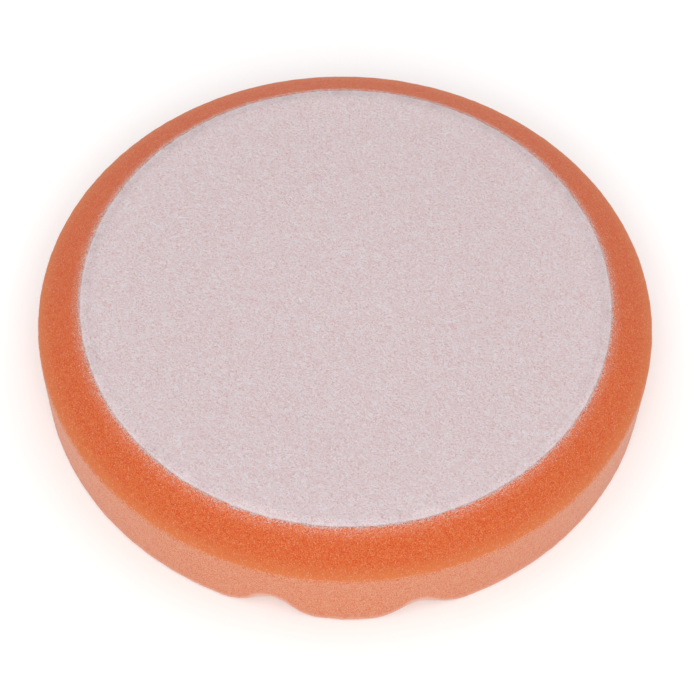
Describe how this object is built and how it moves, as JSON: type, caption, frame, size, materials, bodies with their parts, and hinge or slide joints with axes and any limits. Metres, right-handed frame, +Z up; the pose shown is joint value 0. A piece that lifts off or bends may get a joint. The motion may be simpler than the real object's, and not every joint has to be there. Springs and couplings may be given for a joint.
{
  "type": "polishing pad",
  "caption": "Round foam polishing pad for a machine polisher, with a dimpled working face, a sloping shoulder and a bonded loop cloth backing.",
  "frame": {"origin": "centre of the working face, on the plane that the pad rests on", "axes": "+Z up through the pad, from the working face to the loop cloth; X runs along the rows of dimples"},
  "size_m": [0.1498, 0.1498, 0.0274],
  "materials": {
    "foam": "orange open-cell polyurethane foam, matt, fine cells",
    "adhesive": "thin hot-melt film, dull",
    "knit_ground": "knitted ground of the loop cloth, pale pink, matt",
    "loop_nap": "brushed loops, pale pink-white, soft sheen"
  },
  "bodies": {
    "root": {"foam_body": "foam", "adhesive_film": "adhesive", "cloth_ground": "knit_ground", "loop_pile": "loop_nap"}
  },
  "joints": []
}
